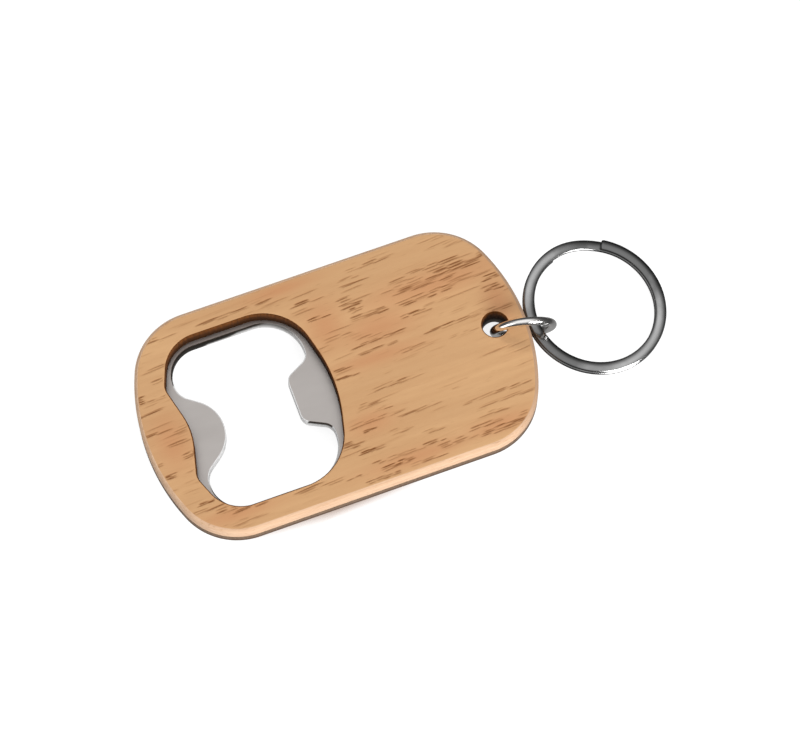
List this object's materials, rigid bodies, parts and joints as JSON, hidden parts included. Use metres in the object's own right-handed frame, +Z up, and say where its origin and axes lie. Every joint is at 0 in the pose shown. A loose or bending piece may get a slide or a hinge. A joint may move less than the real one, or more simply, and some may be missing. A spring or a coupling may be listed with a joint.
{
  "type": "keychain bottle opener",
  "caption": "Flat steel bottle opener plate with a bonded wooden cover, a rounded bottle opening, and a jump ring and split key ring at the far end.",
  "frame": {"origin": "on the underside of the steel plate, on the long axis, in the middle of the solid handle between the bottle opening and the key hole", "axes": "+X along the plate towards the key hole and the rings, +Y across the plate, +Z up from the steel plate towards the wooden cover"},
  "size_m": [0.0958, 0.0416, 0.0127],
  "materials": {
    "matte_steel": "matte bead-blasted stainless steel",
    "adhesive": "thin clear-set adhesive film",
    "wood": "light oiled wood with short dark pores along the grain",
    "polished_steel": "polished nickel-plated steel wire"
  },
  "bodies": {
    "opener": {"steel_opener_plate": "matte_steel", "adhesive_film": "adhesive", "wood_cover": "wood"},
    "jump_ring": {"jump_ring": "polished_steel"},
    "split_ring": {"split_ring": "polished_steel"}
  },
  "joints": [
    {"name": "jump_ring_rock", "type": "hinge", "parent": "opener", "child": "jump_ring", "pos_m": [0.0174, -0.0004, 0.0025], "axis": [1, 0, 0], "range_deg": [-15, 12]},
    {"name": "split_ring_swing", "type": "hinge", "parent": "jump_ring", "child": "split_ring", "pos_m": [0.02425, -0.0009, 0.00135], "axis": [0, -1, 0], "range_deg": [-79.8, 100.2]}
  ]
}
